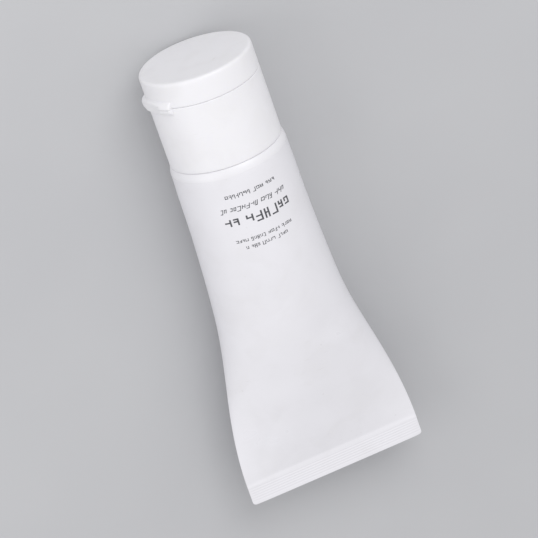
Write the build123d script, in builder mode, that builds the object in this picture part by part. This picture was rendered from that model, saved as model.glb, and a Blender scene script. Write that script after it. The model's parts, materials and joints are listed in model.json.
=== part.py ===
"""Shaving cream tube with a screw-on flip-top cap, lying full on its back.

Frame, in millimetres: +Y runs along the tube from the welded tail to the lid, +Z is up, out of the
printed front, and X is across the flattened tail. The origin is on the surface that the tube lies on,
under the middle of its length and width.

Every round piece is drawn by its radius from the tube's axis and its height above the shoulder rim,
which is the level where the tube ends and the cap begins.
"""

import os
from math import cos, pi, radians, sin, sqrt

from build123d import *

# ---- driving dimensions -------------------------------------------------------------------------
sleeve_radius = 17.5  # a D35 tube
sleeve_wall = 0.5
sleeve_length = 110.0  # from the shoulder rim to the end of the tail
tail_length = 7.0  # the flat weld
tail_sag = 3.0  # the tail hangs this far below the axis
belly_press = 0.5  # the soft back sags this far, and the surface presses it flat
cream_gap = 0.1

shoulder_edge = 2.6  # the moulded edge between the shoulder rim and the sleeve is this long
edge_draw = 0.8  # and curves in by this much
shoulder_skirt = 3.0  # the shoulder's ring inside the sleeve
cone_top_height = 3.5
neck_radius = 9.3
neck_bore = 7.0
neck_top = 16.4
insert_thickness = 0.4
foil_thickness = 0.15

cap_radius = 16.9
cap_height = 28.9  # base and lid together
lid_edge = 0.9  # radius round the lid's top
soft_edge = 0.2  # radius of the cap's other outer edges
seam_height = 21.2  # where the lid meets the base
seam_gap = 0.25
rim_gap = 0.2  # between the shoulder rim and the cap
base_wall = 1.5
lid_wall = 1.3
deck_underside = 18.2
deck_thickness = 1.4
skirt_bottom = 6.2  # the threaded skirt inside the base
skirt_wall = 1.6
lip_height = 1.5  # the snap lip stands this far above the seam
running_gap = 0.25  # between the lid and what it closes over

nozzle_bore = 2.5
nozzle_wall = 1.5
nozzle_top = 24.0
plug_bottom = 22.6

thread_pitch = 3.2
thread_depth = 1.0
thread_root_half = 0.8  # half the ridge's width at its root
thread_crest_half = 0.4  # and at its crest
thread_start = 8.6  # middle of the neck's thread at its lower end
neck_turns = 1.5
skirt_turns = 1.0

hinge_angle = 74.0  # round the cap, from the printed front to the left
lug_radius = 18.3
lug_half_width = 8.0
lug_half_height = 2.2
hinge_reach = 17.75  # from the tube's axis to the hinge line
film_half_width = 4.2
film_half_height = 1.6
film_thickness = 0.3
film_gap = 0.05

# ---- worked out from them -----------------------------------------------------------------------
total_length = sleeve_length + cap_height
shoulder_y = total_length / 2 - cap_height
base_top = seam_height - seam_gap / 2
lid_bottom = seam_height + seam_gap / 2
deck_top = deck_underside + deck_thickness
base_bore = cap_radius - base_wall
lid_bore = cap_radius - lid_wall
ceiling = cap_height - lid_wall
skirt_bore = neck_radius + thread_depth + running_gap
sleeve_end = -shoulder_edge
body_length = sleeve_length - tail_length - shoulder_edge
tail_thickness = 2 * sleeve_wall

tube_axis = Axis((0, shoulder_y, sleeve_radius), (0, 1, 0))
profile_plane = Plane(origin=(0, shoulder_y, sleeve_radius), x_dir=(1, 0, 0), z_dir=(0, 0, 1))
hinge_out = Vector(-sin(radians(hinge_angle)), 0, cos(radians(hinge_angle)))


def across(height):
    """The plane across the tube at this height, with X to the right and Y towards the back."""
    return Plane(origin=(0, shoulder_y + height, sleeve_radius), x_dir=(1, 0, 0), z_dir=(0, 1, 0))


def across_from_hinge(height):
    """The same plane, turned so that X points out through the middle of the hinge."""
    return Plane(origin=(0, shoulder_y + height, sleeve_radius), x_dir=hinge_out, z_dir=(0, 1, 0))


os.makedirs("parts", exist_ok=True)


def write(piece, name):
    """Labels a finished piece and writes it as one STEP file."""
    piece.part.label = name
    export_step(piece.part, f"parts/{name}.step")


# ---- sleeve -------------------------------------------------------------------------------------
# The sleeve is a round tube squeezed to a line, so every section is an ellipse of the same girth.
def half_width(half_depth):
    """Half-width of the ellipse of this half-depth that has the round sleeve's girth."""
    girth = 2 * pi * sleeve_radius
    low, high = half_depth / 2, girth / 4
    for _ in range(40):
        middle = (low + high) / 2
        root = sqrt((3 * middle + half_depth) * (middle + 3 * half_depth))
        if pi * (3 * (middle + half_depth) - root) < girth:
            low = middle
        else:
            high = middle
    return low


def section(share):
    """Half-width, half-depth and drop of the section this share of the way from shoulder to tail."""
    front_fall = sleeve_radius + tail_sag - tail_thickness / 2
    back_rise = sleeve_radius + belly_press - tail_sag - tail_thickness / 2
    pressed = belly_press * min(1, share / 0.2)
    front = sleeve_radius - front_fall * share**2
    back = sleeve_radius + pressed - back_rise * max(0, (share - 0.45) / 0.55) ** 1.8
    half_depth = (front + back) / 2
    return half_width(half_depth), half_depth, (back - front) / 2


def squeezed_body(inset, last_share):
    """The sleeve's outline drawn in by inset, from the shoulder to last_share of its length."""
    shares = [share for share in (0, 0.1, 0.2, 0.33, 0.45, 0.6, 0.75, 0.88, 0.95) if share < last_share]
    with BuildPart() as body:
        for share in shares + [last_share]:
            wide, deep, drop = section(share)
            with BuildSketch(across(sleeve_end - share * body_length)):
                with Locations((0, drop)):
                    Ellipse(wide - inset, deep - inset)
        loft()
        split(bisect_by=Plane.XY.offset(inset), keep=Keep.TOP)
    return body.part


sleeve_outside = squeezed_body(0, 1)
sleeve_inside = squeezed_body(sleeve_wall, 0.96)
with BuildPart() as tube_sleeve:
    add(sleeve_outside)
    with BuildSketch(across(-sleeve_length)):
        with Locations((0, tail_sag)):
            RectangleRounded(pi * sleeve_radius, tail_thickness, 0.45 * tail_thickness)
    extrude(amount=tail_length + 0.4)
    add(sleeve_inside, mode=Mode.SUBTRACT)
write(tube_sleeve, "tube_sleeve")

# ---- shoulder: a cone with the threaded neck ----------------------------------------------------
weld_gap = 0.15
skirt_outside = sleeve_radius - sleeve_wall - weld_gap
skirt_thickness = 0.8
cone_foot = 15.2
cone_head = 9.9
cone_slope = cone_top_height / (cone_foot - cone_head)
cone_drop = 1.9  # height of the shoulder's wall, straight down through the cone


def under_cone(radius, below=0.0):
    """Height of the cone's underside at this radius, less below."""
    return (cone_foot - radius) * cone_slope - cone_drop - below


def thread(root, crest, start, turns):
    """A right-hand ridge that winds up from start, between its root and crest radius."""
    centre = Vector(0, shoulder_y + start, sleeve_radius)
    rise = crest - root
    foot = -0.3 * rise  # sunk this far into the wall that carries it
    with BuildPart() as ridge:
        with BuildLine():
            path = Helix(thread_pitch, turns * thread_pitch, root, center=centre, direction=(0, 1, 0))
        outwards = (path @ 0 - centre).normalized()
        with BuildSketch(Plane(origin=path @ 0, x_dir=outwards, z_dir=path % 0)):
            with BuildLine():
                Polyline(
                    (foot, -thread_root_half),
                    (0, -thread_root_half),
                    (rise, -thread_crest_half),
                    (rise, thread_crest_half),
                    (0, thread_root_half),
                    (foot, thread_root_half),
                    close=True,
                )
            make_face()
        sweep(path=path, is_frenet=True)
    return ridge.part


neck_thread = thread(neck_radius, neck_radius + thread_depth, thread_start, neck_turns)
with BuildPart() as tube_shoulder:
    with BuildSketch(profile_plane):
        with BuildLine():
            ThreePointArc(
                (sleeve_radius, sleeve_end),
                (sleeve_radius - 0.25 * edge_draw, -0.5 * shoulder_edge),
                (sleeve_radius - edge_draw, 0),
            )
            Polyline(
                (sleeve_radius - edge_draw, 0),
                (cone_foot, 0),
                (cone_head, cone_top_height),
                (neck_radius, cone_top_height + 0.5),
                (neck_radius, neck_top),
                (neck_bore, neck_top),
                (neck_bore, under_cone(neck_bore)),
                (cone_foot, under_cone(cone_foot)),
                (skirt_outside - skirt_thickness, -cone_drop - 0.3),
                (skirt_outside - skirt_thickness, sleeve_end - shoulder_skirt),
                (skirt_outside, sleeve_end - shoulder_skirt),
                (skirt_outside, sleeve_end),
                (sleeve_radius, sleeve_end),
            )
        make_face()
    revolve(axis=tube_axis)
    add(neck_thread)
write(tube_shoulder, "tube_shoulder")

# ---- barrier insert: the foil-lined cone welded under the shoulder ------------------------------
with BuildPart() as barrier_insert:
    with BuildSketch(profile_plane):
        with BuildLine():
            Polyline(
                (neck_bore, under_cone(neck_bore)),
                (cone_foot, under_cone(cone_foot)),
                (cone_foot, under_cone(cone_foot, insert_thickness)),
                (neck_bore, under_cone(neck_bore, insert_thickness)),
                close=True,
            )
        make_face()
    revolve(axis=tube_axis)
write(barrier_insert, "barrier_insert")

# ---- foil seal: welded to the neck's rim, with a pull tab folded over it ------------------------
foil_radius = neck_radius - 0.1
tab_length = 7.0
tab_width = 5.0
with BuildPart() as foil_seal:
    with BuildSketch(across(neck_top)):
        Circle(foil_radius)
    extrude(amount=foil_thickness)
    with BuildSketch(across(neck_top + foil_thickness)):
        Circle(foil_radius)
        with Locations((neck_radius, 0)):
            SlotCenterToCenter(tab_length, tab_width, mode=Mode.INTERSECT)
    extrude(amount=foil_thickness)
write(foil_seal, "foil_seal")

# ---- shaving cream ------------------------------------------------------------------------------
cream_in_sleeve = squeezed_body(sleeve_wall + cream_gap, 0.95)
cream_below = insert_thickness + cream_gap
skirt_inside = skirt_outside - skirt_thickness
with BuildPart() as shaving_cream:
    add(cream_in_sleeve)
    # Clear of the shoulder's skirt, and of the cone and its insert.
    with BuildSketch(profile_plane):
        with BuildLine():
            Polyline(
                (cone_head, under_cone(cone_head, cream_below)),
                (cone_foot, under_cone(cone_foot, cream_below)),
                (skirt_inside - cream_gap, under_cone(cone_foot, cream_below)),
                (skirt_inside - cream_gap, sleeve_end - shoulder_skirt - cream_gap),
                (sleeve_radius + 1, sleeve_end - shoulder_skirt - cream_gap),
                (sleeve_radius + 1, cone_top_height),
                (cone_head, cone_top_height),
                close=True,
            )
        make_face()
    revolve(axis=tube_axis, mode=Mode.SUBTRACT)
    # Up through the cone and the neck.
    with BuildSketch(profile_plane):
        with BuildLine():
            Polyline(
                (0, sleeve_end - 1.5),
                (cone_foot - 1.5, sleeve_end - 1.5),
                (cone_foot - 1.5, under_cone(cone_foot - 1.5, cream_below)),
                (neck_bore - cream_gap, under_cone(neck_bore - cream_gap, cream_below)),
                (neck_bore - cream_gap, neck_top - cream_gap),
                (0, neck_top - cream_gap),
                close=True,
            )
        make_face()
    revolve(axis=tube_axis)
write(shaving_cream, "shaving_cream")

# ---- sealing washer: foam, held against the cap's deck ------------------------------------------
washer_thickness = 1.1
washer_gap = 0.1  # to the deck, so that the cap can turn over it
with BuildPart() as sealing_washer:
    with BuildSketch(across(deck_underside - washer_gap - washer_thickness)):
        Circle(neck_radius)
        Circle(nozzle_bore + nozzle_wall, mode=Mode.SUBTRACT)
    extrude(amount=washer_thickness)
write(sealing_washer, "sealing_washer")


# ---- hinge lugs: the lid's and the base's halves of the bead across the seam --------------------
def hinge_lug(low, high):
    """The rounded bead that stands out of the cap at the hinge, flat where the film crosses it."""
    wall_middle = cap_radius - 0.8
    with BuildPart() as lug:
        with BuildSketch(across_from_hinge(low)):
            Circle(lug_radius)
            Circle(wall_middle, mode=Mode.SUBTRACT)
            with Locations((hinge_reach / 2, 0)):
                Rectangle(hinge_reach, 2 * lug_half_width, mode=Mode.INTERSECT)
        extrude(amount=high - low)
        with BuildSketch(profile_plane):
            with Locations((wall_middle, seam_height)):
                Ellipse(lug_radius - wall_middle, lug_half_height)
        revolve(axis=tube_axis, mode=Mode.INTERSECT)
    return lug.part


def film(gap):
    """The hinge film as a flat strap across the seam, made larger by gap."""
    with BuildPart() as strap:
        low = seam_height - film_half_height - gap
        with BuildSketch(across_from_hinge(low)):
            with Locations((hinge_reach - film_thickness / 2, 0)):
                Rectangle(film_thickness + 2 * gap, 2 * (film_half_width + gap))
        extrude(amount=2 * (film_half_height + gap))
    return strap.part


film_pocket = film(film_gap)
base_lug = hinge_lug(seam_height - lug_half_height, base_top)
lid_lug = hinge_lug(lid_bottom, seam_height + lug_half_height)

# ---- cap base -----------------------------------------------------------------------------------
skirt_thread_start = thread_start - thread_pitch / 2
skirt_thread = thread(skirt_bore, skirt_bore - thread_depth, skirt_thread_start, skirt_turns)
lip_outside = lid_bore - running_gap
lip_wall = 1.1
rib_count = 6
rib_thickness = 1.0
rib_height = 6.0
scoop_radius = 9.0  # the thumb scoop is a shallow round cut, this deep and this tall
scoop_depth = 0.9
scoop_height = 4.0
with BuildPart() as cap_base:
    with BuildSketch(profile_plane):
        with BuildLine():
            Polyline(
                (cap_radius, rim_gap),
                (cap_radius, base_top),
                (lip_outside, base_top),
                (lip_outside, seam_height + lip_height),
                (lip_outside - lip_wall, seam_height + lip_height),
                (lip_outside - lip_wall, deck_top),
                (nozzle_bore + nozzle_wall, deck_top),
                (nozzle_bore + nozzle_wall, nozzle_top),
                (nozzle_bore, nozzle_top),
                (nozzle_bore, deck_underside),
                (skirt_bore, deck_underside),
                (skirt_bore, skirt_bottom),
                (skirt_bore + skirt_wall, skirt_bottom),
                (skirt_bore + skirt_wall, deck_underside),
                (base_bore, deck_underside),
                (base_bore, rim_gap),
                close=True,
            )
        make_face()
        fillet(vertices().group_by(Axis.X)[-1], radius=soft_edge)
        fillet(vertices().group_by(Axis.Y)[-1], radius=0.4)
    revolve(axis=tube_axis)
    add(skirt_thread)
    add(base_lug)
    # Ribs tie the skirt to the outer wall.
    rib_overlap = 0.4
    rib_inside = skirt_bore + skirt_wall - rib_overlap
    rib_length = base_bore + rib_overlap - rib_inside
    with BuildSketch(across(deck_underside - rib_height)):
        with PolarLocations(rib_inside + rib_length / 2, rib_count):
            Rectangle(rib_length, rib_thickness)
    extrude(amount=rib_height + rib_overlap)
    # A scoop under the lid's edge, opposite the hinge, takes the thumb.
    with BuildSketch(across_from_hinge(base_top - scoop_height)):
        with Locations((-cap_radius - scoop_radius + scoop_depth, 0)):
            Circle(scoop_radius)
    extrude(amount=2 * scoop_height, mode=Mode.SUBTRACT)
    add(film_pocket, mode=Mode.SUBTRACT)
write(cap_base, "cap_base")

# ---- flip lid -----------------------------------------------------------------------------------
plug_radius = nozzle_bore - running_gap
plug_wall = 1.0
plug_lead = 0.6  # the plug's end is tapered over this height
with BuildPart() as flip_lid:
    with BuildSketch(profile_plane):
        with BuildLine():
            Polyline(
                (cap_radius, lid_bottom),
                (cap_radius, cap_height),
                (0, cap_height),
                (0, ceiling),
                (plug_radius - plug_wall, ceiling),
                (plug_radius - plug_wall, plug_bottom),
                (plug_radius - plug_wall / 2, plug_bottom),
                (plug_radius, plug_bottom + plug_lead),
                (plug_radius, ceiling),
                (lid_bore, ceiling),
                (lid_bore, lid_bottom),
                close=True,
            )
        make_face()
        fillet(vertices().group_by(Axis.X)[-1].group_by(Axis.Y)[-1], radius=lid_edge)
        fillet(vertices().group_by(Axis.X)[-1].group_by(Axis.Y)[0], radius=soft_edge)
    revolve(axis=tube_axis)
    add(lid_lug)
    add(film_pocket, mode=Mode.SUBTRACT)
write(flip_lid, "flip_lid")

# ---- living hinge -------------------------------------------------------------------------------
hinge_film = film(0)
with BuildPart() as living_hinge:
    add(hinge_film)
write(living_hinge, "living_hinge")
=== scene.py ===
# %% [markdown]
# # A squeeze tube with a flip-top cap
#
# A tube of shaving cream is four plastics in slightly different whites: a soft laminate sleeve, a
# moulded shoulder, a moulded cap and a thin hinge film. Nothing on it is coloured, so its look depends
# on true curves, small rounded edges and how glossy each white is.
# This lesson makes every visible piece as a surface worked out with numpy, gives each plastic its own
# procedural finish, and lights the tube softly from the camera's side.

# %% Load the frame
import json
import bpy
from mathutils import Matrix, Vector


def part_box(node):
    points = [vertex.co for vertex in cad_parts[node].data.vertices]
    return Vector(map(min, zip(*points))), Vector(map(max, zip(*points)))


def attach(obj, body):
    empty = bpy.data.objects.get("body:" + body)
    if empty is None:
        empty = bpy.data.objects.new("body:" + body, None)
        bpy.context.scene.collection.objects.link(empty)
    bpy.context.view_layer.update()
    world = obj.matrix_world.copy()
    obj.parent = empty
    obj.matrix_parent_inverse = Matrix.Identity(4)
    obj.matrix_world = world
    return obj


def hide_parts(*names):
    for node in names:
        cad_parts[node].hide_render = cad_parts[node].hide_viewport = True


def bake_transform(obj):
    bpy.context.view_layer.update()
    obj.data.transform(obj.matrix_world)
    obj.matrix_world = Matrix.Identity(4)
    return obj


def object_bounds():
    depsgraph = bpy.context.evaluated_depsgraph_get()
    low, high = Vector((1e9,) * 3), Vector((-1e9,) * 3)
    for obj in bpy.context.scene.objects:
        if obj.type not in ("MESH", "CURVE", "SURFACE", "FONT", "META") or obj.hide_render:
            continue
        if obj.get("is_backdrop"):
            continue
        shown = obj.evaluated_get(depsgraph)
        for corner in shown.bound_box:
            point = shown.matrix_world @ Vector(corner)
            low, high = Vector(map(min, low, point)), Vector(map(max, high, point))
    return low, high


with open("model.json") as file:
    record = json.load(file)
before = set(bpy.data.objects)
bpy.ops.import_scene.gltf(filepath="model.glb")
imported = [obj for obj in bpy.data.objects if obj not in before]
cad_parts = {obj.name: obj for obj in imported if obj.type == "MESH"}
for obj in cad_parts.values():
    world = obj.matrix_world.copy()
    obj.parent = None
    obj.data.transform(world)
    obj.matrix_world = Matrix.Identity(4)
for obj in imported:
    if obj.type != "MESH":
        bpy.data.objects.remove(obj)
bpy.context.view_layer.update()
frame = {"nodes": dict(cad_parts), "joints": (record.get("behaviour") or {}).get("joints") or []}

# %% Other modules
from math import cos, pi, radians, sin

import bmesh
import bpy
import numpy as np
from mathutils import Matrix, Vector

mm = 0.001

# %% [markdown]
# ## Where the pieces are
#
# The frame holds the working model, whose pieces have exact places. Sleeve, shoulder and cap share one
# axis, so a few numbers read from their boxes place everything: how high the axis is, and where the
# shoulder rim, the seam of the cap and the tail are along it.
# They could be typed in, but reading them means that the looks still fit when the working model changes.

# %% Read the tube's axis and levels
sleeve_low, sleeve_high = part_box("tube_sleeve")
shoulder_low, shoulder_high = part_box("tube_shoulder")
_, lid_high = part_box("flip_lid")
hinge = next(joint for joint in frame["joints"] if joint["name"] == "lid_hinge")

sleeve_radius = (shoulder_high.x - shoulder_low.x) / 2 / mm
axis_z = (shoulder_high.z + shoulder_low.z) / 2
seam_y = hinge["pos_m"][1]
cap_height = 28.9
rim_y = lid_high.y - cap_height * mm
seam = (seam_y - rim_y) / mm
tail_end = (sleeve_low.y - rim_y) / mm
sleeve_end = (sleeve_high.y - rim_y) / mm
tail_half_width = sleeve_high.x / mm
print(f"sleeve radius {sleeve_radius:.2f}, seam {seam:.2f} and tail {tail_end:.2f} mm from the rim")


# %% [markdown]
# ## Turning a grid of points into a piece
#
# Every piece below is a grid: row after row of points, each row a closed ring round the tube. Four
# neighbouring points make a face. Spin or Screw modifiers could turn a profile too, but a grid also takes
# shapes that are not quite round, such as a flattened sleeve or a cap with a bead on one side.
# Rings that shrink to a point or a line are merged there, so that the surface is closed, and if its
# volume comes out negative its faces point inwards and are turned round.

# %% From a grid to a mesh object
def close_mesh(mesh):
    """Merges points that coincide, makes the faces of a closed mesh point outwards, and shades it
    smooth except over corners of more than 40 degrees."""
    work = bmesh.new()
    work.from_mesh(mesh)
    bmesh.ops.remove_doubles(work, verts=work.verts, dist=0.0001 * mm)
    if work.calc_volume(signed=True) < 0:
        bmesh.ops.reverse_faces(work, faces=work.faces)
    open_edges = sum(edge.is_boundary for edge in work.edges)
    work.to_mesh(mesh)
    work.free()
    mesh.shade_smooth()
    mesh.set_sharp_from_angle(angle=radians(40))
    return open_edges


def piece_from_points(name, points, faces, edge=None):
    """A closed piece from points in metres and faces as rows of point numbers. edge, a number for each
    point, is kept as an attribute that the finishes read."""
    mesh = bpy.data.meshes.new(name)
    mesh.from_pydata(points.reshape(-1, 3).tolist(), [], faces.tolist())
    if edge is not None:
        attribute = mesh.attributes.new("edge", "FLOAT", "POINT")
        attribute.data.foreach_set("value", edge.ravel().astype(np.float32))
    open_edges = close_mesh(mesh)
    piece = bpy.data.objects.new(name, mesh)
    bpy.context.scene.collection.objects.link(piece)
    print(f"{name}: {len(mesh.polygons)} faces, {open_edges} open edges")
    return piece


def grid_faces(rows, columns, loop):
    """Faces between neighbouring rings. With loop, the last ring also meets the first."""
    index = np.arange(rows * columns).reshape(rows, columns)
    if loop:
        index = np.vstack([index, index[:1]])
    beside = np.roll(index, -1, axis=1)
    corners = np.stack([index[:-1], beside[:-1], beside[1:], index[1:]], axis=-1)
    return corners.reshape(-1, 4)


def piece_from_rings(name, points, loop=False, edge=None):
    """A piece from an array of rings: points[row, column] is a place in metres, edge[row] a number."""
    rows, columns = points.shape[:2]
    if edge is not None:
        edge = np.repeat(edge, columns)
    return piece_from_points(name, points, grid_faces(rows, columns, loop), edge)


# %% [markdown]
# ## Profiles with rounded corners
#
# Moulded plastic has no sharp corner: each one is rounded by a few tenths of a millimetre, and that thin
# curve is what catches the light. A profile is listed as corners, each a distance from the axis, a height
# above the rim and its own rounding. A Bevel modifier could round them after the turn, but here the arcs
# are laid out in the profile itself, where each has its own radius.

# %% Rounded profiles
def corner_arc(before, corner, after, rounding, steps=5):
    """Points of the arc that replaces a corner. It touches each side at rounding times the tangent of
    half the turn, and its centre is one rounding to the side that the profile turns to."""
    arriving = (corner - before) / np.linalg.norm(corner - before)
    leaving = (after - corner) / np.linalg.norm(after - corner)
    turn = np.arccos(np.clip(arriving @ leaving, -1, 1))
    side = np.sign(arriving[0] * leaving[1] - arriving[1] * leaving[0])
    inward = side * np.array([-arriving[1], arriving[0]])
    start = corner - arriving * rounding * np.tan(turn / 2)
    angle = np.linspace(0, turn, steps + 1)[:, None]
    return start + inward * rounding - rounding * (np.cos(angle) * inward - np.sin(angle) * arriving)


def profile(corners, loop, longest=0.8):
    """A rounded profile through (distance, height, rounding, step) corners, as an array of points.
    The straight stretch after a corner is divided into steps no longer than its step, or longest."""
    places = np.array([corner[:2] for corner in corners], float)
    count = len(corners)
    stretches = []
    for k, corner in enumerate(corners):
        is_end = not loop and k in (0, count - 1)
        if corner[2] and not is_end:
            arc = corner_arc(places[k - 1], places[k], places[(k + 1) % count], corner[2])
        else:
            arc = places[k : k + 1]
        stretches.append((arc, corner[3] if len(corner) > 3 else longest))
    points = []
    for k, (arc, step) in enumerate(stretches):
        points.append(arc)
        if loop or k < count - 1:
            target = stretches[(k + 1) % count][0][0]
            pieces = max(1, int(np.ceil(np.linalg.norm(target - arc[-1]) / step)))
            share = np.arange(1, pieces)[:, None] / pieces
            points.append(arc[-1] + (target - arc[-1]) * share)
    return np.vstack(points)


def edge_of(points, loop):
    """How tightly a profile curves outwards at each point, in radians per mm and at most 1: the turn
    at the point over the mean length of its two sides."""
    before = points - np.roll(points, 1, axis=0)
    after = np.roll(points, -1, axis=0) - points
    turn = before[:, 0] * after[:, 1] - before[:, 1] * after[:, 0]
    lengths = np.linalg.norm(before, axis=1) * np.linalg.norm(after, axis=1) + 1e-9
    bend = np.arcsin(np.clip(turn / lengths, -1, 1)) / np.sqrt(lengths)
    area = np.sum(points[:, 0] * np.roll(points[:, 1], -1) - points[:, 1] * np.roll(points[:, 0], -1))
    if not loop:
        bend[[0, -1]] = 0
    return np.clip(np.sign(area) * bend, 0, 1)


def place_round(distance, angle, height):
    """Points in metres from distance to the axis and height above the rim, both in mm, and the angle
    round the tube from the printed front, positive towards the right."""
    x = distance * np.sin(angle)
    z = distance * np.cos(angle)
    return np.stack([x * mm, rim_y + height * mm + 0 * x, axis_z + z * mm], axis=-1)


# %% [markdown]
# ## The sleeve
#
# The sleeve is a sheet rolled to a tube, so its girth is the same all the way: where it is squeezed
# flatter it grows wider, by exactly as much as keeps the girth. That rule gives the tube its outline, and
# it is what a block scaled down at one end gets wrong.
# The front falls to the tail in one long curve. Just below the shoulder it also gives by half a
# millimetre, which makes the sleeve a little wider than the shoulder from the start. The back lies
# pressed on the table and rises late.
# Towards the tail a section turns from an ellipse into a lens, whose sides end in an edge.

# %% The sleeve's sections
weld_height = 7.0
tail_half = 0.5
tail_sag = 3.0
belly_press = 0.5
front_give = 0.5
back_lift = 0.45
body_length = sleeve_end - tail_end - weld_height


def smooth(value, start, end):
    """Rises from 0 at start to 1 at end along the curve t * t * (3 - 2 * t)."""
    t = np.clip((value - start) / (end - start), 0, 1)
    return t * t * (3 - 2 * t)


def depths(share):
    """Half the depth of a section and the height of its middle over the axis, in mm."""
    give = front_give * smooth(share, 0, 0.09) * (1 - smooth(share, 0.15, 0.6))
    front = sleeve_radius - (sleeve_radius + tail_sag - tail_half) * share**2 - give
    pressed = belly_press * np.clip(share / 0.2, 0, 1)
    back_rise = sleeve_radius + belly_press - tail_sag - tail_half
    back = sleeve_radius + pressed - back_rise * np.clip((share - back_lift) / (1 - back_lift), 0, 1) ** 1.8
    return (front + back) / 2, (front - back) / 2


def lens_power(share):
    """1 makes an ellipse, and more makes a lens with edges at its sides."""
    return 1 + 0.6 * smooth(share, 0.5, 0.95)


def widths(share):
    """Half-widths that give each section the round sleeve's girth, found by halving an interval."""
    turn = np.linspace(0, pi / 2, 400)[None, :]
    half, _ = depths(share)
    rise = half[:, None] * np.sin(turn) ** lens_power(share)[:, None]
    low, high = 0.5 * half, np.full_like(share, pi * sleeve_radius / 2)
    for _ in range(30):
        middle = (low + high) / 2
        run = middle[:, None] * np.cos(turn)
        quarter = np.hypot(np.diff(run, axis=1), np.diff(rise, axis=1)).sum(axis=1)
        short = quarter < pi * sleeve_radius / 2
        low, high = np.where(short, middle, low), np.where(short, high, middle)
    return low


table_share = np.linspace(0, 1, 400)
table_width = widths(table_share)
print(f"half-width grows from {table_width[0]:.2f} to {table_width[-1]:.2f} mm at a girth that stays")


# %% [markdown]
# ## Handling marks in the sleeve
#
# A full tube that has been carried about is never a clean surface. Laminate keeps shallow dents from
# fingers, it buckles in two slanting folds from the corners of the weld, and small ripples run off the
# weld where the sheet is held flat. They could be sculpted. As formulas they stay gentle and repeatable:
# each is a bump or a wave times a fade, and they add up to how far the skin moves in.

# %% Dents, folds and ripples
dents = [  # across, along (share), radius in mm and depth in mm, on the front
    (-6.0, 0.42, 8.0, 0.34),
    (8.5, 0.58, 7.0, 0.42),
    (-11.0, 0.70, 6.5, 0.30),
    (2.0, 0.83, 9.0, 0.25),
]


def pushed_in(share, across, is_front):
    """How far the skin is moved in, in mm: round dents, two folds from the weld's corners, ripples
    that run off the weld, and a slow unevenness, which all fade out at the shoulder and the weld."""
    along = share * body_length
    depth = np.zeros(np.broadcast(share, across).shape)
    for dent_across, dent_share, radius, amount in dents:
        distance = ((across - dent_across) ** 2 + (along - dent_share * body_length) ** 2) / radius**2
        depth = depth + amount * np.exp(-2 * distance) * is_front
    left = body_length - along
    fold_line = np.abs(across) - (24.0 - 0.55 * left)
    fold_reach = smooth(left, 1.0, 6.0) * (1 - smooth(left, 12.0, 24.0))
    depth = depth + 0.32 * np.exp(-((fold_line / 2.4) ** 2)) * fold_reach
    ripple = np.cos(2 * pi * across / 6.1 + 0.8) * np.exp(-left / 6.0) * smooth(left, 0.0, 2.0)
    depth = depth + 0.12 * ripple
    slow = np.sin(0.21 * along + 0.13 * across + 0.6) * np.cos(0.17 * along - 0.24 * across)
    return depth + 0.07 * slow * smooth(share, 0.04, 0.25) * smooth(left, 0.0, 10.0)


# %% [markdown]
# ## The overlap
#
# The laminate sheet is rolled and welded along one side, edge over edge. The double strip is about 1.6 mm
# wide and stands out by a few hundredths of a millimetre, enough to show as a fine line in a highlight.
# It lies on the left, just behind the side, out of the way of the print.

# %% The welded overlap
overlap_turn = radians(197)
overlap_width = 1.6 / sleeve_radius


def overlap(turn):
    """Height of the double strip, in mm: a low step up and a step down, one strip width apart."""
    into = np.mod(turn - overlap_turn, 2 * pi)
    return 0.05 * smooth(into, 0, 0.03) * (1 - smooth(into, overlap_width, overlap_width + 0.03))


# %% [markdown]
# ## A place on the sleeve
#
# One function gives any place on the skin from how far along it is and how far round. The wall inside,
# the cream and the print all use it with their own inset, so they keep their distance from the skin
# everywhere, dents included.

# %% Sleeve places
def on_sleeve(share, turn, inset=0.0):
    """Places on the sleeve. share runs from the shoulder, 0, to the weld, 1, and turn goes round from
    the right side over the front. The skin moves in by inset, and never reaches under the table."""
    half, middle = depths(share)
    width = np.interp(share, table_share, table_width)
    across = width * np.cos(turn)
    rise = np.sign(np.sin(turn)) * np.abs(np.sin(turn)) ** lens_power(share)
    pushed = pushed_in(share, across, np.sin(turn) > 0) - overlap(turn) * smooth(share, 0, 0.01)
    x = across * (width - inset) / width
    z = middle + rise * (half - inset - pushed * smooth(half, 0.4, 3.0))
    height = sleeve_end - share * body_length
    up = np.maximum(axis_z / mm + z, np.maximum(inset, 0))
    return np.stack([x * mm, rim_y + height * mm + 0 * x, up * mm], axis=-1)


def flat_ring(turn, level, half_depth, width, power):
    """A ring of the flat weld, whose depth follows |sin| to a power: a small one makes a box with
    rounded ends."""
    z = -tail_sag + half_depth * np.sign(np.sin(turn)) * np.abs(np.sin(turn)) ** power
    x = width * np.cos(turn)
    return np.stack([x * mm, rim_y + level * mm + 0 * x, axis_z + z * mm], axis=-1)


def pressed_flat(ring, share):
    """A copy of a ring that lies in the section's middle, which closes the surface there."""
    flat = ring.copy()
    flat[..., 2] = axis_z + depths(np.array([share]))[1][0] * mm
    return flat


# %% [markdown]
# ## The welded tail
#
# The weld is pressed between ribbed jaws, which leave a band of fine ridges parallel to the edge, and the
# end is then cut off straight. Each level of the weld is a flat ring. Its thickness follows a cosine, once
# per ridge, and the last ring has no thickness, which closes the sleeve. Over the first millimetre the
# body's lens shape turns into the weld's box shape.
# The outside then turns in at the shoulder end and becomes the wall's inside, so that the piece is a
# real wall and not a sheet without thickness.

# %% Make the sleeve
columns = 320
wall = 0.5
ridge_pitch = 0.8
ridge_depth = 0.09
tail_corner = 0.9
box_power = 0.3
box_start = 1.2
wall_end_share = 0.955
turns = np.linspace(0, 2 * pi, columns, endpoint=False)[None, :]


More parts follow.
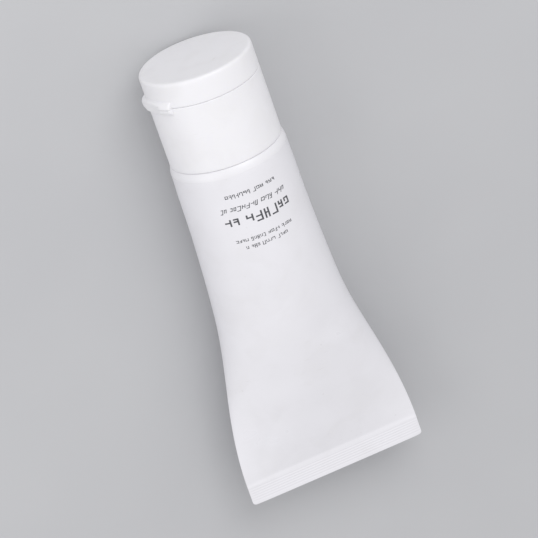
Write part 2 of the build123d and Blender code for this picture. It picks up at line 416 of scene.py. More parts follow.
def weld_rings(turn):
    """The weld's rings from the sleeve's body to the cut end."""
    levels = np.linspace(sleeve_end - body_length - 0.08, tail_end, 84)[:, None]
    from_end = levels - tail_end
    band = smooth(from_end, 0.5, 0.9) * (1 - smooth(from_end, weld_height - 1.4, weld_height - 1.0))
    ridge = 0.5 - 0.5 * np.cos(2 * pi * from_end / ridge_pitch)
    half = tail_half - ridge_depth * ridge * band
    corner = tail_corner * (1 - np.sqrt(1 - (1 - np.clip(from_end / tail_corner, 0, 1)) ** 2))
    boxed = smooth(weld_height - from_end, 0.0, box_start)
    power = lens_power(1.0) + (box_power - lens_power(1.0)) * boxed
    body = flat_ring(turn, levels, half, tail_half_width - corner, power)
    end = flat_ring(turn, np.array([[tail_end]]), 0.0, tail_half_width - tail_corner, box_power)
    return np.concatenate([body, end])


skin_rings = on_sleeve(np.linspace(0, 1, 150)[:, None], turns)
wall_rings = on_sleeve(np.linspace(wall_end_share, 0, 30)[:, None], turns, inset=wall)
wall_end = pressed_flat(wall_rings[:1], wall_end_share)
sleeve_rings = np.concatenate([wall_end, wall_rings, skin_rings, weld_rings(turns)])
sleeve = piece_from_rings("sleeve_skin", sleeve_rings)
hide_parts("tube_sleeve")
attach(sleeve, "tube")

# %% [markdown]
# ## The shoulder and its neck
#
# Under the cap the sleeve is welded to a moulded shoulder: a cone that carries the neck. Only its rounded
# edge shows beside the cap, as the bright line where tube and cap meet, and the rest appears when the cap
# is off. The whole piece is one profile turned round the axis.
# The thread is a ridge that climbs one pitch per turn. It is added to the neck's radius as a function of
# angle and height, so it grows out of the wall without a join.

# %% The thread as a ridge
pitch = 3.2
thread_depth = 1.0
thread_start = 8.6
neck_thread_turns = 1.5
cap_thread_turns = 1.0


def thread_ridge(angle, height, start, thread_turns):
    """Height of a right-hand thread's ridge, in mm: a flat top with sloping flanks, along a line that
    climbs one pitch per turn from start, and that fades out at both ends."""
    ridge = np.zeros(np.broadcast(angle, height).shape)
    first_turn = np.mod(angle, 2 * pi) / (2 * pi)
    for whole in range(int(np.ceil(thread_turns))):
        along = first_turn + whole
        off = np.abs(height - start - pitch * along)
        flank = np.clip((0.8 - off) / 0.4, 0, 1)
        ends = smooth(along, 0, 0.06) * (1 - smooth(along, thread_turns - 0.06, thread_turns))
        ridge = np.maximum(ridge, flank * ends)
    return thread_depth * ridge


# %% [markdown]
# The shoulder's profile goes round the rim, up the cone and the neck, down the bore, and back along the
# underside to the collar that the sleeve is welded to. The rim's draw is a short curve of its own.

# %% Make the shoulder
neck_radius = 9.3
neck_bore = 7.0
neck_top = 16.4
edge_steps = np.linspace(sleeve_end, 0, 10)[:-1]
edge_draw = 0.8
shoulder_edge = [
    (sleeve_radius - edge_draw * (1 - height / sleeve_end) ** 2, height, 0) for height in edge_steps
]
shoulder_profile = profile(
    shoulder_edge
    + [
        (sleeve_radius - edge_draw, 0, 0.3),
        (15.2, 0, 0.6),
        (9.9, 3.5, 0.5),
        (neck_radius, 4.0, 0.2, 0.2),
        (neck_radius, neck_top, 0.3),
        (neck_bore, neck_top, 0.3),
        (neck_bore, 3.5, 0.4),
        (15.2, -1.9, 0.4),
        (16.05, -2.2, 0.2),
        (16.05, -5.6, 0.1),
        (16.85, -5.6, 0.1),
        (16.85, sleeve_end, 0),
    ],
    loop=True,
)
angles = np.linspace(0, 2 * pi, 300, endpoint=False)[None, :]
shoulder_out, shoulder_up = shoulder_profile[:, :1], shoulder_profile[:, 1:]
on_neck = (np.abs(shoulder_out - neck_radius) < 0.01) & (shoulder_up > 4)
outer_ridge = thread_ridge(angles, shoulder_up, thread_start, neck_thread_turns)
shoulder_rings = place_round(shoulder_out + on_neck * outer_ridge, angles, shoulder_up)
shoulder_edges = edge_of(shoulder_profile, loop=True)
shoulder = piece_from_rings("shoulder", shoulder_rings, loop=True, edge=shoulder_edges)
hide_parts("tube_shoulder")
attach(shoulder, "tube")

# %% [markdown]
# ## The cream
#
# The cream is the sleeve's own shape a little further in, and it rises through the cone into the neck.
# Its rings start as points on the axis under the foil, follow the neck and the cone, and go on as rings of
# the sleeve.

# %% Make the cream
cream_inset = 0.65
cream_end_share = 0.945
cream_top = [(0, 16.25), (6.85, 16.25), (6.85, 3.0), (14.6, -2.15), (15.9, -2.6), (15.9, -5.8)]
cream_round = np.array(cream_top)[:, None, :]
facing = pi / 2 - turns
neck_rings = place_round(cream_round[..., 0], facing, cream_round[..., 1])
cream_share = np.linspace(0.045, cream_end_share, 60)[:, None]
cream_rings = on_sleeve(cream_share, turns, inset=cream_inset)
cream_end = pressed_flat(cream_rings[-1:], cream_end_share)
cream = piece_from_rings("cream_fill", np.concatenate([neck_rings, cream_rings, cream_end]))
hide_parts("shaving_cream")
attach(cream, "tube")

# %% [markdown]
# ## The cap's outside
#
# The cap is round but for two things, which are both functions of the angle round it: the bead that holds
# the hinge, and the scoop opposite it for the thumb. The bead is half an ellipse across the seam. It is
# cut flat where the film crosses, because a film only folds along a straight line.
# Both are added to the wall's distance from the axis, so base and lid share one bead, split at the seam.
# Rings get extra columns at the bead's ends, where the wall steps out within half a millimetre.

# %% Bead and scoop as functions of the angle
cap_radius = 16.9
hinge_angle = float(np.arctan2(hinge["pos_m"][0], hinge["pos_m"][2] - axis_z))
hinge_reach = float(np.hypot(hinge["pos_m"][0], hinge["pos_m"][2] - axis_z)) / mm
bead_radius = 18.3
bead_half_height = 2.2
bead_half_width = 8.0
bead_end = 0.6
scoop_radius = 9.0
scoop_depth = 0.9
scoop_floor = seam - 4.1
ledge_inside = 15.6
moved_reach = 7.0
print(f"hinge {np.degrees(hinge_angle):.1f} degrees from the front, {hinge_reach:.2f} mm from the axis")


def bead(angle, height):
    """How far the bead stands out of the wall, in mm: half an ellipse over the height, rounded down at
    its two ends, and no further out than the flat that the hinge line lies in."""
    wall_middle = cap_radius - 0.8
    from_seam = np.clip(np.abs(height - seam) / bead_half_height, 0, 1)
    out = wall_middle + (bead_radius - wall_middle) * np.sqrt(1 - from_seam**2) - cap_radius
    round_cap = bead_radius * np.abs(np.sin(angle - hinge_angle))
    near_end = np.clip((round_cap - bead_half_width + bead_end) / bead_end, 0, 1)
    fronting = np.cos(angle - hinge_angle)
    out = np.where(fronting > 0, np.maximum(out, 0) * np.sqrt(1 - near_end**2), 0)
    flat = hinge_reach / np.maximum(fronting, 0.5) - cap_radius
    return np.minimum(out, flat)


def scoop(angle, height):
    """How far the thumb scoop goes into the wall, in mm: a round cut whose centre stands outside the
    wall, opposite the hinge, above a small ledge."""
    centre = cap_radius + scoop_radius - scoop_depth
    toward = -np.cos(angle - hinge_angle)
    aside = centre * np.sin(angle - hinge_angle)
    hit = np.abs(aside) < scoop_radius
    reach = centre * toward - np.sqrt(np.where(hit, scoop_radius**2 - aside**2, 0))
    depth = np.where(hit & (toward > 0), np.maximum(cap_radius - reach, 0), 0)
    return depth * smooth(height, scoop_floor - 0.1, scoop_floor + 0.1)


even = np.linspace(-pi, pi, 300, endpoint=False)
end_angle = np.arcsin(np.linspace(bead_half_width - bead_end, bead_half_width, 9) / bead_radius)
cap_angles = np.sort(np.concatenate([even, end_angle, -end_angle]))[None, :] + hinge_angle


def outer_wall(points, angle, with_scoop):
    """Distances from the axis of a cap's rings: its profile's, moved on the outer wall by bead and
    scoop. The wall's rounded edge moves with it, and the ledge inside it follows less and less, so
    that it is squeezed and doesn't fold over."""
    out, height = points[:, :1], points[:, 1:]
    follow = np.clip((out - ledge_inside) / (cap_radius - 0.3 - ledge_inside), 0, 1)
    moved = bead(angle, height)
    if with_scoop:
        moved = moved - scoop(angle, height)
    return out + follow * (np.abs(height - seam) < moved_reach) * moved


# %% [markdown]
# ## The cap's base
#
# The base is one moulding: the outer wall, a lip that the lid snaps over, a dished deck, the nozzle, and
# under the deck a skirt with the thread that matches the neck's. Its profile is a closed loop, so the
# turned grid closes on itself like a ring.
# The inner thread is the neck's ridge again, half a pitch lower and pointing inwards.

# %% Make the cap's base
seam_gap = 0.03
rim_gap = 0.08
base_top = seam - seam_gap / 2
deck_top = 19.6
deck_under = 18.2
skirt_bore = 10.55
skirt_wall = 1.6
skirt_end = 6.2
wall_inside = 15.4
lip_outside = 15.35
lip_wall = 1.1
lip_top = 22.7
nozzle_outside = 4.0
nozzle_bore = 2.5
nozzle_top = 24.0
base_profile = profile(
    [
        (cap_radius, rim_gap, 0.25),
        (cap_radius, seam - bead_half_height - 3, 0, 0.18),
        (cap_radius, base_top, 0.3),
        (lip_outside, base_top, 0.12),
        (lip_outside, 21.9, 0),
        (lip_outside + 0.1, 22.15, 0.1),
        (lip_outside, 22.4, 0),
        (lip_outside, lip_top, 0.2),
        (lip_outside - lip_wall, lip_top, 0.3),
        (lip_outside - lip_wall, deck_top, 0.9),
        (nozzle_outside, deck_top, 0.8),
        (nozzle_outside, nozzle_top, 0.5),
        (nozzle_bore, nozzle_top, 0.3),
        (nozzle_bore, deck_under, 0.2),
        (skirt_bore, deck_under, 0.3, 0.2),
        (skirt_bore, skirt_end, 0.2),
        (skirt_bore + skirt_wall, skirt_end, 0.3, 1.2),
        (skirt_bore + skirt_wall, deck_under, 0.4),
        (wall_inside, deck_under, 0.4, 1.2),
        (wall_inside, rim_gap, 0.3),
    ],
    loop=True,
)
base_distance = outer_wall(base_profile, cap_angles, with_scoop=True)
base_up = base_profile[:, 1:]
in_bore = (np.abs(base_profile[:, :1] - skirt_bore) < 0.01) & (base_up < deck_under - 0.5)
inner_ridge = thread_ridge(cap_angles, base_up, thread_start - pitch / 2, cap_thread_turns)
base_rings = place_round(base_distance - in_bore * inner_ridge, cap_angles, base_up)
base_edges = edge_of(base_profile, loop=True)
base = piece_from_rings("cap_base_shell", base_rings, loop=True, edge=base_edges)
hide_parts("cap_base")
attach(base, "cap")

# %% [markdown]
# ## Ribs under the deck
#
# Six thin ribs tie the skirt to the outer wall, so that the wall keeps round when the cap is gripped.
# Each is a small closed box that ends inside both walls. They show only from below with the cap off.

# %% Make the ribs
rib_count = 6
rib_ends = np.array([11.9, 15.6])
rib_levels = np.array([12.2, 18.4])
rib_sides = np.array([-0.5, 0.5])
corner_out, corner_up, corner_side = (part.ravel() for part in np.meshgrid(rib_ends, rib_levels, rib_sides))
box_faces = np.array([[0, 1, 3, 2], [4, 6, 7, 5], [0, 4, 5, 1], [2, 3, 7, 6], [0, 2, 6, 4], [1, 5, 7, 3]])
rib_angles = (np.arange(rib_count) * 2 * pi / rib_count + hinge_angle)[:, None]
rib_corners = place_round(
    np.hypot(corner_out, corner_side)[None, :],
    rib_angles + np.arctan2(corner_side, corner_out)[None, :],
    corner_up[None, :],
)
rib_faces = np.concatenate([box_faces + 8 * k for k in range(rib_count)])
ribs = piece_from_points("cap_ribs", rib_corners, rib_faces)
ribs.data.shade_flat()
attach(ribs, "cap")

# %% [markdown]
# ## The lid
#
# The lid is a shallow cup with a rounded top edge, and its half of the bead at the seam. Inside, a short
# hollow plug hangs from the middle and closes the nozzle. The profile starts and ends on the axis, where
# the rings shrink to points.

# %% Make the lid
lid_bottom = seam + seam_gap / 2
ceiling = cap_height - 1.3
lid_profile = profile(
    [
        (0, cap_height, 0),
        (cap_radius, cap_height, 0.9),
        (cap_radius, seam + bead_half_height + 0.3, 0, 0.15),
        (cap_radius, lid_bottom, 0.3),
        (ledge_inside, lid_bottom, 0.12),
        (ledge_inside, ceiling, 0.6),
        (2.25, ceiling, 0.3),
        (2.25, 23.2, 0.2, 0.3),
        (1.75, 22.6, 0.15, 0.2),
        (1.25, 22.6, 0.15),
        (1.25, ceiling, 0.2),
        (0, ceiling, 0),
    ],
    loop=False,
)
lid_distance = outer_wall(lid_profile, cap_angles, with_scoop=False)
lid_rings = place_round(lid_distance, cap_angles, lid_profile[:, 1:])
lid = piece_from_rings("lid_shell", lid_rings, edge=edge_of(lid_profile, loop=False))
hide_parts("flip_lid")
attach(lid, "lid")

# %% [markdown]
# ## The hinge film
#
# Lid and base are moulded in one shot and joined by a film a third of a millimetre thick, which bends
# where it is thinnest. Here it is one strip with many cross rows, laid across the seam and attached to
# neither body.

# %% Make the film
film_half_width = 4.1
film_half_height = 1.25
across_hinge = np.array([cos(hinge_angle), 0, -sin(hinge_angle)])
out_of_hinge = np.array([sin(hinge_angle), 0, cos(hinge_angle)])


def film_ring(share):
    """The strip's outline at each share of its height: a flat loop that swells a little out of the
    bead's flat in its middle, sinks into it at its rim, and is thinnest at the seam."""
    around = np.linspace(0, 2 * pi, 48, endpoint=False)[None, :]
    side = np.sign(np.cos(around)) * np.abs(np.cos(around)) ** 0.5
    thick = 0.12 + 0.06 * np.abs(share)
    face = np.sign(np.sin(around)) * np.abs(np.sin(around)) ** 0.7
    swell = 0.05 * (1 - side**4) * (1 - share**4) - 0.015
    out = hinge_reach + swell - thick + thick * face
    height = (seam + film_half_height * share) + 0 * around
    on_axis = np.stack([0 * height, rim_y + height * mm, axis_z + 0 * height], axis=-1)
    across = film_half_width * side[..., None] * across_hinge
    return on_axis + (across + out[..., None] * out_of_hinge) * mm


shares = np.linspace(-1, 1, 41)[:, None]
film_rings = film_ring(shares)
film_ends = film_rings.mean(axis=1, keepdims=True) + 0 * film_rings
film = piece_from_rings("hinge_film", np.concatenate([film_ends[:1], film_rings, film_ends[-1:]]))
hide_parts("living_hinge")
seam_point = Vector(hinge["pos_m"])
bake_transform(film)

# %% [markdown]
# ## The print
#
# The sleeve is printed in one dark grey, in rows that read the right way up when the tube stands on its
# cap. The signs here are made up: upright strokes joined by short bars, with the rhythm of small type
# and no meaning. Ink could be a mask in the sleeve's material, but screen ink has a body of its own, so
# each stroke is a closed box a few hundredths of a millimetre high, laid on the skin.
# A row is given by its distance from the rim, its length, the size and weight of its strokes and a slant.

# %% Strokes of made-up signs
draw = np.random.default_rng(11)
ink_height = 0.03
ink_depth = 0.06


def sign_strokes(length, size, weight):
    """Boxes (left, right, foot, head) of a row of signs, in mm, in the direction of reading. A sign is
    one or two stems and one or two bars whose ends lie in the stems, and a word ends after three to
    eight signs."""
    boxes, left, until_gap = [], 0.0, draw.integers(3, 8)
    while left < length:
        wide = size * draw.uniform(0.45, 0.75)
        tall = size * draw.choice([0.72, 0.72, 1.0])
        boxes.append((left, left + weight, 0, tall))
        if draw.random() < 0.6:
            boxes.append((left + wide - weight, left + wide, 0, tall * draw.choice([0.55, 1.0])))
        for level in draw.choice([0.0, 0.45, 1.0], size=draw.integers(1, 3), replace=False):
            foot = level * (tall - weight)
            boxes.append((left + weight * 0.9, left + wide - weight * 0.1, foot, foot + weight * 0.9))
        left += wide + size * 0.2
        until_gap -= 1
        if until_gap == 0:
            left += size * 0.5
            until_gap = draw.integers(3, 8)
    boxes = np.array(boxes)
    boxes[:, :2] -= boxes[:, 1].max() / 2
    return boxes


def laid_on_sleeve(boxes, from_rim, slant):
    """Eight corners of each box: its four corners on the skin, sunk by ink_depth and proud by
    ink_height. Reading runs to the left and up is towards the tail, as the tube stands on its cap."""
    reading = boxes[:, [0, 1, 1, 0]]
    rising = boxes[:, [2, 2, 3, 3]]
    around = -(reading + slant * rising) / sleeve_radius
    share = (from_rim + rising + sleeve_end) / body_length
    sunk = on_sleeve(share, pi / 2 - around, inset=ink_depth)
    proud = on_sleeve(share, pi / 2 - around, inset=-ink_height)
    return np.concatenate([sunk, proud], axis=1)


# %% [markdown]
# The rows stand under each other like a label: two small lines, a bold one and two more small ones. The
# second is set aslant. All their strokes become one piece that rides on the tube.

# %% Print the rows
rows_of_print = [  # from the rim, length, size, stroke and slant
    (8.1, 15.0, 1.35, 0.21, 0.0),
    (12.1, 20.0, 1.55, 0.22, 0.28),
    (15.6, 21.0, 3.1, 0.50, 0.0),
    (22.6, 17.0, 1.2, 0.18, 0.0),
    (25.0, 13.0, 1.2, 0.18, 0.0),
]
stroke_faces = np.array([[0, 3, 2, 1], [4, 5, 6, 7], [0, 1, 5, 4], [1, 2, 6, 5], [2, 3, 7, 6], [3, 0, 4, 7]])
corners = np.concatenate(
    [
        laid_on_sleeve(sign_strokes(length, size, weight), from_rim, slant)
        for from_rim, length, size, weight, slant in rows_of_print
    ]
)
ink_faces = (np.arange(len(corners)) * 8)[:, None, None] + stroke_faces
ink = piece_from_points("sleeve_print", corners, ink_faces.reshape(-1, 4))
ink.data.shade_flat()
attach(ink, "tube")
print(f"{len(corners)} strokes in {len(rows_of_print)} rows")

# %% [markdown]
# ## Shared effects
#
# All the plastics here share two effects. One is the skin of moulded plastic: a fine grain over a wider,
# softer waviness that bends reflections a little. The other is handling: faint smudges that dull the
# gloss, hair-thin rubs, and specks of dust. Each is a node group that gives out numbers only, so every
# material can use it in its own measure. Painting textures would do it too, but a group scales with the
# piece and needs no image file.

# %% Helpers for node trees
def add_node(tree, kind, settings=None, **inputs):
    """Adds a node, sets its properties and its inputs, and links inputs that are given as sockets."""
    node = tree.nodes.new(kind)
    for key, value in (settings or {}).items():
        setattr(node, key, value)
    for key, value in inputs.items():
        name = key.replace("_", " ")
        socket = node.inputs[int(name[1:])] if name[0] == "n" and name[1:].isdigit() else node.inputs[name]
        if isinstance(value, bpy.types.NodeSocket):
            tree.links.new(value, socket)
        else:
            socket.default_value = value
    return node


def maths(tree, operation, first, second=0.0, clamp=False):
    """The result of a Math node on two numbers or sockets."""
    settings = {"operation": operation, "use_clamp": clamp}
    return add_node(tree, "ShaderNodeMath", settings, n0=first, n1=second).outputs[0]


def remap(tree, value, low, high, to_low, to_high):
    """A Map Range node's result: value from low..high to to_low..to_high, clamped."""
    node = add_node(tree, "ShaderNodeMapRange", None, n0=value, n1=low, n2=high, n3=to_low, n4=to_high)
    return node.outputs[0]


def new_group(name, inputs, outputs):
    """An empty shader group with number inputs and outputs, and its first Object coordinates."""
    tree = bpy.data.node_groups.new(name, "ShaderNodeTree")
    for key, value in inputs.items():
        tree.interface.new_socket(key, in_out="INPUT", socket_type="NodeSocketFloat").default_value = value
    for key in outputs:
        tree.interface.new_socket(key, in_out="OUTPUT", socket_type="NodeSocketFloat")
    start = tree.nodes.new("NodeGroupInput")
    end = tree.nodes.new("NodeGroupOutput")
    place = tree.nodes.new("ShaderNodeTexCoord").outputs["Object"]
    return tree, start.outputs, end.inputs, place


# %% The skin of moulded plastic
tree, given, wanted, place = new_group("plastic_skin", {"Grain": 0.15, "Wave": 2.5}, ["Height", "Cloud"])
fine_scale = maths(tree, "DIVIDE", 1000.0, given["Grain"])
wave_scale = maths(tree, "DIVIDE", 1000.0, given["Wave"])
fine = add_node(tree, "ShaderNodeTexNoise", None, Vector=place, Scale=fine_scale, Detail=2.0)
wave = add_node(tree, "ShaderNodeTexNoise", None, Vector=place, Scale=wave_scale, Detail=1.0)
cloud = add_node(tree, "ShaderNodeTexNoise", None, Vector=place, Scale=70.0, Detail=3.0)
fine_part = maths(tree, "MULTIPLY", fine.outputs[0], 0.25)
tree.links.new(maths(tree, "ADD", wave.outputs[0], fine_part), wanted["Height"])
tree.links.new(remap(tree, cloud.outputs[0], 0.3, 0.7, 0.0, 1.0), wanted["Cloud"])
plastic_skin = tree

# %% [markdown]
# Smudges are wide and soft. Rubs are noise drawn out into hairs, and like the dust they lie in patches,
# because a tube is touched in some places and not in others.

# %% Handling marks
tree, given, wanted, place = new_group("handling", {"Amount": 1.0}, ["Smudge", "Rub", "Dust"])
smudge = add_node(tree, "ShaderNodeTexNoise", None, Vector=place, Scale=110.0, Detail=4.0, Distortion=0.6)
smudge_mask = remap(tree, smudge.outputs[0], 0.48, 0.68, 0.0, 1.0)
drawn_out = {"Rotation": (0.5, 0.3, 0.9), "Scale": (0.6, 14, 1)}
stretched = add_node(tree, "ShaderNodeMapping", None, Vector=place, **drawn_out)
hairs = add_node(tree, "ShaderNodeTexNoise", None, Vector=stretched.outputs[0], Scale=420.0, Detail=2.0)
patches = add_node(tree, "ShaderNodeTexNoise", None, Vector=place, Scale=60.0, Detail=1.0)
hair_mask = remap(tree, hairs.outputs[0], 0.67, 0.72, 0.0, 1.0)
patch_mask = remap(tree, patches.outputs[0], 0.5, 0.62, 0.0, 1.0)
specks = add_node(tree, "ShaderNodeTexVoronoi", None, Vector=place, Scale=260.0)
speck_mask = remap(tree, specks.outputs["Distance"], 0.05, 0.085, 1.0, 0.0)
tree.links.new(maths(tree, "MULTIPLY", smudge_mask, given["Amount"]), wanted["Smudge"])
rub_mask = maths(tree, "MULTIPLY", hair_mask, patch_mask)
tree.links.new(maths(tree, "MULTIPLY", rub_mask, given["Amount"]), wanted["Rub"])
dust_mask = maths(tree, "MULTIPLY", speck_mask, patch_mask)
tree.links.new(maths(tree, "MULTIPLY", dust_mask, given["Amount"]), wanted["Dust"])
handling = tree
print("shared effects:", plastic_skin.name, handling.name)


# %% [markdown]
# ## The white plastics
#
# Sleeve, shoulder and cap are all white, yet they differ: the laminate is the glossiest and coolest, the
# cap has a satin mould finish, and the shoulder is a softer, slightly warmer polyethylene.
# The same builder makes them all. Its colour darkens a touch in smudges and rubs, its roughness follows
# the same masks and drops along edges, which fingers polish, and the skin group bends its normal.
# A single flat white would look like paper.

# %% Build a white plastic
relief_distance = 0.05 * mm


def use_group(tree, group, **values):
    """The outputs of a shared group, used with these values."""
    node = add_node(tree, "ShaderNodeGroup", {"node_tree": group}, **values)
    return node.outputs


def white_plastic(name, colour, rough, grain, wave, bump, amount, subsurface=0.0):
    """A moulded or laminated white: colour, roughness, grain and wave sizes in mm, strength of the
    bump, how handled it is, and how much light it lets in."""
    material = bpy.data.materials.new(name)
    material.use_nodes = True
    tree = material.node_tree
    shader = tree.nodes["Principled BSDF"]
    skin = use_group(tree, plastic_skin, Grain=grain, Wave=wave)
    marks = use_group(tree, handling, Amount=amount)
    edge = add_node(tree, "ShaderNodeAttribute", {"attribute_name": "edge"}).outputs["Fac"]
    tone = maths(tree, "MULTIPLY", skin["Cloud"], 0.20)
    tone = maths(tree, "ADD", tone, maths(tree, "MULTIPLY", marks["Smudge"], 0.25))
    tone = maths(tree, "ADD", tone, maths(tree, "MULTIPLY", marks["Rub"], 0.6))
    tone = maths(tree, "ADD", tone, maths(tree, "MULTIPLY", marks["Dust"], 0.8), clamp=True)
    toned = tuple(part * share for part, share in zip(colour, (0.905, 0.90, 0.885)))
    mixed = add_node(tree, "ShaderNodeMix", {"data_type": "RGBA"}, Factor=tone)
    mixed.inputs[6].default_value = (*colour, 1)
    mixed.inputs[7].default_value = (*toned, 1)
    tree.links.new(mixed.outputs[2], shader.inputs["Base Color"])
    dull = maths(tree, "ADD", maths(tree, "MULTIPLY", marks["Smudge"], 0.10), rough)
    dull = maths(tree, "ADD", dull, maths(tree, "MULTIPLY", marks["Rub"], 0.18))
    dull = maths(tree, "ADD", dull, maths(tree, "MULTIPLY", skin["Cloud"], 0.05))
    dull = maths(tree, "SUBTRACT", dull, maths(tree, "MULTIPLY", edge, 0.08))
    tree.links.new(dull, shader.inputs["Roughness"])
    bent = {"Height": skin["Height"], "Strength": bump, "Distance": relief_distance}
    relief = add_node(tree, "ShaderNodeBump", None, **bent)
    tree.links.new(relief.outputs[0], shader.inputs["Normal"])
    shader.inputs["IOR"].default_value = 1.5
    if subsurface:
        shader.inputs["Subsurface Weight"].default_value = subsurface
        shader.inputs["Subsurface Radius"].default_value = (1.0, 1.0, 0.9)
        shader.inputs["Subsurface Scale"].default_value = 1.2 * mm
    return material


laminate = white_plastic(
    "laminate_white", (0.81, 0.805, 0.835), rough=0.27, grain=0.12, wave=3.2, bump=0.30, amount=1.0
)
cap_white = white_plastic(
    "cap_satin_white",
    (0.85, 0.846, 0.866),
    rough=0.36,
    grain=0.10,
    wave=1.6,
    bump=0.35,
    amount=0.9,
    subsurface=0.15,
)
shoulder_white = white_plastic(
    "shoulder_white",
    (0.825, 0.82, 0.845),
    rough=0.31,
    grain=0.14,
    wave=1.8,
    bump=0.3,
    amount=0.6,
    subsurface=0.05,
)
film_white = white_plastic(
    "film_white",
    (0.86, 0.857, 0.872),
    rough=0.30,
    grain=0.08,
    wave=0.9,
    bump=0.5,
    amount=0.5,
    subsurface=0.2,
)
cream_white = white_plastic(
    "cream_white", (0.90, 0.91, 0.905), rough=0.45, grain=0.5, wave=4.0, bump=0.5, amount=0.2
)
for piece, material in (
    (sleeve, laminate),
    (shoulder, shoulder_white),
    (base, cap_white),
    (ribs, cap_white),
    (lid, cap_white),
    (film, film_white),
    (cream, cream_white),
):
    piece.data.materials.append(material)

# %% [markdown]
# ## Ink, foil, foam and barrier
#
# Screen ink is matt and a little uneven where the mesh laid it thinner. The seal is thin foil, embossed
# with a fine lattice so that it doesn't curl. The washer is a closed-cell foam, so its relief is a
# pattern of cells. The barrier under the shoulder is foil laminate with a rolled, streaky surface.

# %% Build the small finishes
def finish(name, first, second, mask, rough, height, bump, metallic=0.0):
    """A material of two colours mixed by a mask, with roughness between two limits by the same mask.
    mask and height are functions that take the tree and Object coordinates and return a socket."""
    material = bpy.data.materials.new(name)
    material.use_nodes = True
    tree = material.node_tree
    shader = tree.nodes["Principled BSDF"]
    place = tree.nodes.new("ShaderNodeTexCoord").outputs["Object"]
    share = mask(tree, place)
    mixed = add_node(tree, "ShaderNodeMix", {"data_type": "RGBA"}, Factor=share)
    mixed.inputs[6].default_value = (*first, 1)
    mixed.inputs[7].default_value = (*second, 1)
    tree.links.new(mixed.outputs[2], shader.inputs["Base Color"])
    tree.links.new(remap(tree, share, 0.0, 1.0, rough[0], rough[1]), shader.inputs["Roughness"])
    bent = {"Height": height(tree, place), "Strength": bump, "Distance": relief_distance}
    relief = add_node(tree, "ShaderNodeBump", None, **bent)
    tree.links.new(relief.outputs[0], shader.inputs["Normal"])
    shader.inputs["Metallic"].default_value = metallic
    return material


def noise(scale, detail=2.0):
    """A mask function: soft noise of this scale, spread to the whole range."""

    def mask(tree, place):
        node = add_node(tree, "ShaderNodeTexNoise", None, Vector=place, Scale=scale, Detail=detail)
        return remap(tree, node.outputs[0], 0.35, 0.65, 0.0, 1.0)

    return mask


def cells(scale):
    """A height function: rounded cells of this scale."""

    def height(tree, place):
        return add_node(tree, "ShaderNodeTexVoronoi", None, Vector=place, Scale=scale).outputs["Distance"]

    return height


def lattice(scale):
    """A height function: two crossed sets of fine waves, turned by 45 degrees."""

    def height(tree, place):
        turned = add_node(tree, "ShaderNodeMapping", None, Vector=place, Rotation=(0, radians(45), 0))
        first = add_node(tree, "ShaderNodeTexWave", None, Vector=turned.outputs[0], Scale=scale)
        second = add_node(tree, "ShaderNodeTexWave", {"bands_direction": "Z"}, Vector=turned.outputs[0])
        second.inputs["Scale"].default_value = scale
        return maths(tree, "MAXIMUM", first.outputs["Fac"], second.outputs["Fac"])

    return height


ink_grey = finish(
    "screen_ink",
    first=(0.055, 0.057, 0.065),
    second=(0.10, 0.102, 0.11),
    mask=noise(900),
    rough=(0.42, 0.6),
    height=noise(2500),
    bump=0.3,
)
foil = finish(
    "seal_foil",
    first=(0.80, 0.80, 0.81),
    second=(0.70, 0.70, 0.72),
    mask=noise(300),
    rough=(0.22, 0.38),
    height=lattice(260),
    bump=0.6,
    metallic=1.0,
)
foam = finish(
    "washer_foam",
    first=(0.84, 0.84, 0.82),
    second=(0.76, 0.76, 0.74),
    mask=cells(1500),
    rough=(0.75, 0.9),
    height=cells(1500),
    bump=0.8,
)
barrier = finish(
    "barrier_laminate",
    first=(0.72, 0.72, 0.74),
    second=(0.62, 0.62, 0.65),
    mask=noise(500),
    rough=(0.3, 0.5),
    height=noise(1400),
    bump=0.4,
    metallic=0.9,
)
ink.data.materials.append(ink_grey)
for node, material in (
    ("foil_seal", foil),
    ("sealing_washer", foam),
    ("barrier_insert", barrier),
):
    carried = frame["nodes"][node]
    carried.data.materials.clear()
    carried.data.materials.append(material)
print(len(bpy.data.materials), "materials")

# %% [markdown]
# ## The floor
#
# A white object on a white floor has no outline, so the floor is a pale grey, matt and almost even. It is
# a wide sheet just under the tube. Two very soft tones keep it from looking like a flat fill.

# %% Make the floor
floor_half = 1.5
floor_drop = 0.02
floor_mesh = bpy.data.meshes.new("floor")
floor_corners = np.array([(-1, -1, 0), (1, -1, 0), (1, 1, 0), (-1, 1, 0)]) * floor_half
floor_mesh.from_pydata(floor_corners.tolist(), [], [(0, 1, 2, 3)])
floor = bpy.data.objects.new("floor", floor_mesh)
floor.location.z = -floor_drop * mm
bpy.context.scene.collection.objects.link(floor)
floor_grey = finish(
    "floor_grey",
    first=(0.52, 0.525, 0.535),
    second=(0.50, 0.505, 0.517),
    mask=noise(14),
    rough=(0.7, 0.8),
    height=noise(900),
    bump=0.05,
)
floor_mesh.materials.append(floor_grey)
floor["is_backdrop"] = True

# %% [markdown]
# ## The camera
#
# The tube is seen almost straight on its printed front, from 20 degrees above the plane of its cap, and
# leans to the left in the frame. The camera is first put where it sees the cap's end at that angle, and
# is then turned to the middle of the tube. A long lens keeps the tube's sides nearly parallel.
# The lean is a roll: the camera's up is turned until the tube's axis has the lean in the frame.

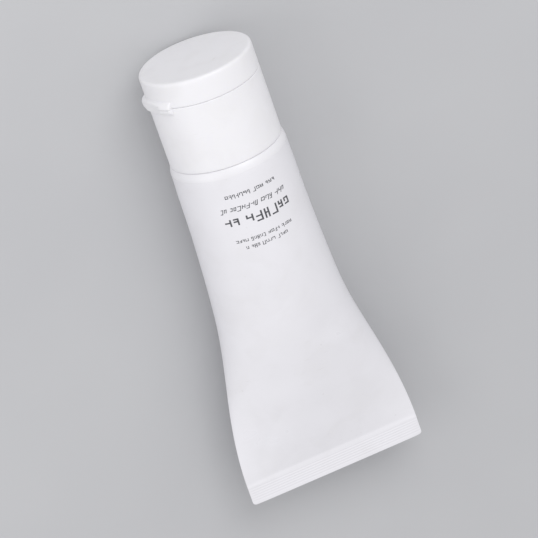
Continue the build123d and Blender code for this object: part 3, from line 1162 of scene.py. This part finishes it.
# %% Place the camera
lean = radians(19.5)
above_cap = radians(20.0)
front_yaw = radians(-9.0)
camera_distance = 1.30
lens_length = 305
toward_camera = Vector((sin(front_yaw) * cos(above_cap), sin(above_cap), cos(front_yaw) * cos(above_cap)))
cap_centre = Vector((0, lid_high.y, axis_z))
low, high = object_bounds()
aim = (low + high) / 2
eye = cap_centre + toward_camera * camera_distance
sight = (eye - aim).normalized()
along_tube = Vector((0, 1, 0))
upright = (along_tube - sight * along_tube.dot(sight)).normalized()
camera_up = Matrix.Rotation(-lean, 3, sight) @ upright
camera_data = bpy.data.cameras.new("camera")
camera_data.lens = lens_length
camera = bpy.data.objects.new("camera", camera_data)
bpy.context.scene.collection.objects.link(camera)
orientation = Matrix((camera_up.cross(sight), camera_up, sight)).transposed().to_4x4()
camera.matrix_world = Matrix.Translation(eye) @ orientation
bpy.context.scene.camera = camera
print(f"camera {(eye - aim).length:.3f} m from the middle of the tube")

# %% [markdown]
# ## The light
#
# The light is that of a product table: a broad soft source above the camera, a weaker one from the left,
# and a bright even surrounding. A white object needs less of it than one expects, because everything near
# the top of the scale loses its form. The sides end up near white and the cap's end a step darker.

# %% Light the table
surround_colour = (0.985, 0.98, 1, 1)
surround_strength = 0.775
world = bpy.data.worlds.new("studio")
bpy.context.scene.world = world
world.use_nodes = True
surround = world.node_tree.nodes["Background"]
surround.inputs["Color"].default_value = surround_colour
surround.inputs["Strength"].default_value = surround_strength


def softbox(name, place, size, power):
    """A square area light of this size in metres, aimed at the tube."""
    data = bpy.data.lights.new(name, "AREA")
    data.energy = power
    data.size = size
    light = bpy.data.objects.new(name, data)
    bpy.context.scene.collection.objects.link(light)
    light.location = place
    light.rotation_euler = (Vector(place) - aim).to_track_quat("Z", "Y").to_euler()


softbox("above_camera", aim + Vector((0.14, 0.47, 0.50)), size=0.45, power=1.6)
softbox("left_fill", aim + Vector((-0.60, 0.05, 0.35)), size=0.5, power=0.9)
bpy.context.scene.view_settings.view_transform = "Standard"
